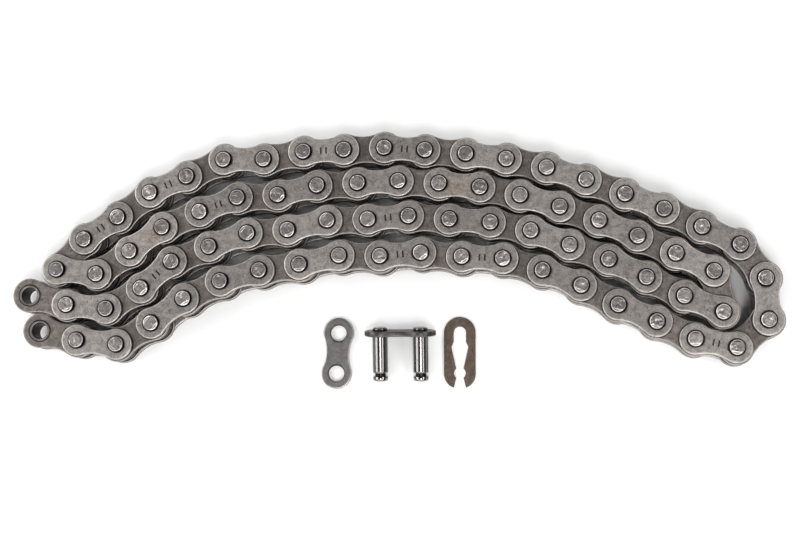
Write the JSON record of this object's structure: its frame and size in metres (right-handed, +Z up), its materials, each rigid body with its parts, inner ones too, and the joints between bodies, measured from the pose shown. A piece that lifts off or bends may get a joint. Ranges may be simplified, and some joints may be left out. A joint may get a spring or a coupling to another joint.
{
  "type": "garage door opener drive chain",
  "caption": "Length of 3/8 inch pitch bush drive chain for a garage door opener, folded into nested arched runs, with its loose connecting link, cover plate and spring clip.",
  "frame": {"origin": "on the table, under the middle of the box round the folded chain and its loose connecting link", "axes": "+X along the fold, from the two bare chain ends to the outer turn; +Y across the fold, away from the loose pieces; +Z up, along the pins"},
  "size_m": [0.18, 0.0598, 0.0117],
  "materials": {
    "outer_plate_steel": "satin, pitted",
    "inner_plate_steel": "dull, oiled",
    "pin_steel": "polished with dull rims",
    "bush_steel": "smooth, oiled",
    "connecting_plate_steel": "dark satin",
    "ground_pin_steel": "ground bright",
    "spring_steel": "matt bronze brown"
  },
  "bodies": {
    "stored_run": {"third_run_inner_plates": "inner_plate_steel", "third_run_bushes": "bush_steel", "third_run_outer_plates": "outer_plate_steel", "third_run_pins": "pin_steel", "second_run_inner_plates": "inner_plate_steel", "second_run_bushes": "bush_steel", "second_run_outer_plates": "outer_plate_steel", "second_run_pins": "pin_steel", "top_run_inner_plates": "inner_plate_steel", "top_run_bushes": "bush_steel", "top_run_outer_plates": "outer_plate_steel", "top_run_pins": "pin_steel"},
    "tail_link_01": {"tail_link_01_plates": "inner_plate_steel", "tail_link_01_bushes": "bush_steel"},
    "tail_link_02": {"tail_link_02_plates": "outer_plate_steel", "tail_link_02_pins": "pin_steel"},
    "tail_link_03": {"tail_link_03_plates": "inner_plate_steel", "tail_link_03_bushes": "bush_steel"},
    "tail_link_04": {"tail_link_04_plates": "outer_plate_steel", "tail_link_04_pins": "pin_steel"},
    "tail_link_05": {"tail_link_05_plates": "inner_plate_steel", "tail_link_05_bushes": "bush_steel"},
    "tail_link_06": {"tail_link_06_plates": "outer_plate_steel", "tail_link_06_pins": "pin_steel"},
    "tail_link_07": {"tail_link_07_plates": "inner_plate_steel", "tail_link_07_bushes": "bush_steel"},
    "tail_link_08": {"tail_link_08_plates": "outer_plate_steel", "tail_link_08_pins": "pin_steel"},
    "tail_link_09": {"tail_link_09_plates": "inner_plate_steel", "tail_link_09_bushes": "bush_steel"},
    "tail_link_10": {"tail_link_10_plates": "outer_plate_steel", "tail_link_10_pins": "pin_steel"},
    "tail_link_11": {"tail_link_11_plates": "inner_plate_steel", "tail_link_11_bushes": "bush_steel"},
    "tail_link_12": {"tail_link_12_plates": "outer_plate_steel", "tail_link_12_pins": "pin_steel"},
    "tail_link_13": {"tail_link_13_plates": "inner_plate_steel", "tail_link_13_bushes": "bush_steel"},
    "tail_link_14": {"tail_link_14_plates": "outer_plate_steel", "tail_link_14_pins": "pin_steel"},
    "tail_link_15": {"tail_link_15_plates": "inner_plate_steel", "tail_link_15_bushes": "bush_steel"},
    "tail_link_16": {"tail_link_16_plates": "outer_plate_steel", "tail_link_16_pins": "pin_steel"},
    "tail_link_17": {"tail_link_17_plates": "inner_plate_steel", "tail_link_17_bushes": "bush_steel"},
    "tail_link_18": {"tail_link_18_plates": "outer_plate_steel", "tail_link_18_pins": "pin_steel"},
    "tail_link_19": {"tail_link_19_plates": "inner_plate_steel", "tail_link_19_bushes": "bush_steel"},
    "tail_link_20": {"tail_link_20_plates": "outer_plate_steel", "tail_link_20_pins": "pin_steel"},
    "tail_link_21": {"tail_link_21_plates": "inner_plate_steel", "tail_link_21_bushes": "bush_steel"},
    "connecting_link": {"connecting_plate": "connecting_plate_steel", "connecting_pin_left": "ground_pin_steel", "connecting_pin_right": "ground_pin_steel"},
    "cover_plate": {"cover_plate": "connecting_plate_steel"},
    "spring_clip": {"spring_clip": "spring_steel"}
  },
  "joints": [
    {"name": "tail_link_01_hinge", "type": "hinge", "parent": "stored_run", "child": "tail_link_01", "pos_m": [0.07984, 0.00247, 0.00585], "axis": [0, 0, 1], "range_deg": [0, 5]},
    {"name": "tail_link_02_hinge", "type": "hinge", "parent": "tail_link_01", "child": "tail_link_02", "pos_m": [0.08544, -0.00524, 0.00585], "axis": [0, 0, 1], "range_deg": [0, 4]},
    {"name": "tail_link_03_hinge", "type": "hinge", "parent": "tail_link_02", "child": "tail_link_03", "pos_m": [0.08593, -0.01475, 0.00585], "axis": [0, 0, 1], "range_deg": [0, 4]},
    {"name": "tail_link_04_hinge", "type": "hinge", "parent": "tail_link_03", "child": "tail_link_04", "pos_m": [0.07875, -0.021, 0.00585], "axis": [0, 0, 1], "range_deg": [0, 5]},
    {"name": "tail_link_05_hinge", "type": "hinge", "parent": "tail_link_04", "child": "tail_link_05", "pos_m": [0.06943, -0.01902, 0.00585], "axis": [0, 0, 1], "range_deg": [0, 6]},
    {"name": "tail_link_06_hinge", "type": "hinge", "parent": "tail_link_05", "child": "tail_link_06", "pos_m": [0.0608, -0.01499, 0.00585], "axis": [0, 0, 1], "range_deg": [0, 6]},
    {"name": "tail_link_07_hinge", "type": "hinge", "parent": "tail_link_06", "child": "tail_link_07", "pos_m": [0.0521, -0.01112, 0.00585], "axis": [0, 0, 1], "range_deg": [0, 7]},
    {"name": "tail_link_08_hinge", "type": "hinge", "parent": "tail_link_07", "child": "tail_link_08", "pos_m": [0.04369, -0.00664, 0.00585], "axis": [0, 0, 1], "range_deg": [0, 8]},
    {"name": "tail_link_09_hinge", "type": "hinge", "parent": "tail_link_08", "child": "tail_link_09", "pos_m": [0.03485, -0.00308, 0.00585], "axis": [0, 0, 1], "range_deg": [0, 10]},
    {"name": "tail_link_10_hinge", "type": "hinge", "parent": "tail_link_09", "child": "tail_link_10", "pos_m": [0.02575, -0.00029, 0.00585], "axis": [0, 0, 1], "range_deg": [0, 12]},
    {"name": "tail_link_11_hinge", "type": "hinge", "parent": "tail_link_10", "child": "tail_link_11", "pos_m": [0.01623, 0.00021, 0.00585], "axis": [0, 0, 1], "range_deg": [0, 15]},
    {"name": "tail_link_12_hinge", "type": "hinge", "parent": "tail_link_11", "child": "tail_link_12", "pos_m": [0.00676, 0.0012, 0.00585], "axis": [0, 0, 1], "range_deg": [0, 15]},
    {"name": "tail_link_13_hinge", "type": "hinge", "parent": "tail_link_12", "child": "tail_link_13", "pos_m": [-0.00274, 0.00054, 0.00585], "axis": [0, 0, 1], "range_deg": [0, 15]},
    {"name": "tail_link_14_hinge", "type": "hinge", "parent": "tail_link_13", "child": "tail_link_14", "pos_m": [-0.01226, 0.0007, 0.00585], "axis": [0, 0, 1], "range_deg": [0, 15]},
    {"name": "tail_link_15_hinge", "type": "hinge", "parent": "tail_link_14", "child": "tail_link_15", "pos_m": [-0.02158, -0.00128, 0.00585], "axis": [0, 0, 1], "range_deg": [0, 15]},
    {"name": "tail_link_16_hinge", "type": "hinge", "parent": "tail_link_15", "child": "tail_link_16", "pos_m": [-0.03101, -0.0026, 0.00585], "axis": [0, 0, 1], "range_deg": [0, 15]},
    {"name": "tail_link_17_hinge", "type": "hinge", "parent": "tail_link_16", "child": "tail_link_17", "pos_m": [-0.04021, -0.00507, 0.00585], "axis": [0, 0, 1], "range_deg": [0, 15]},
    {"name": "tail_link_18_hinge", "type": "hinge", "parent": "tail_link_17", "child": "tail_link_18", "pos_m": [-0.04885, -0.00909, 0.00585], "axis": [0, 0, 1], "range_deg": [0, 20]},
    {"name": "tail_link_19_hinge", "type": "hinge", "parent": "tail_link_18", "child": "tail_link_19", "pos_m": [-0.05645, -0.01482, 0.00585], "axis": [0, 0, 1], "range_deg": [0, 30]},
    {"name": "tail_link_20_hinge", "type": "hinge", "parent": "tail_link_19", "child": "tail_link_20", "pos_m": [-0.06462, -0.01973, 0.00585], "axis": [0, 0, 1], "range_deg": [0, 45]},
    {"name": "tail_link_21_hinge", "type": "hinge", "parent": "tail_link_20", "child": "tail_link_21", "pos_m": [-0.07409, -0.01873, 0.00585], "axis": [0, 0, 1], "range_deg": [0, 60]},
    {"name": "connecting_link_lift", "type": "slide", "parent": "stored_run", "child": "connecting_link", "axis": [0, 0, 1], "range_m": [0, 0.02]},
    {"name": "cover_plate_lift", "type": "slide", "parent": "stored_run", "child": "cover_plate", "axis": [0, 0, 1], "range_m": [0, 0.02]},
    {"name": "spring_clip_lift", "type": "slide", "parent": "stored_run", "child": "spring_clip", "axis": [0, 0, 1], "range_m": [0, 0.02]}
  ]
}
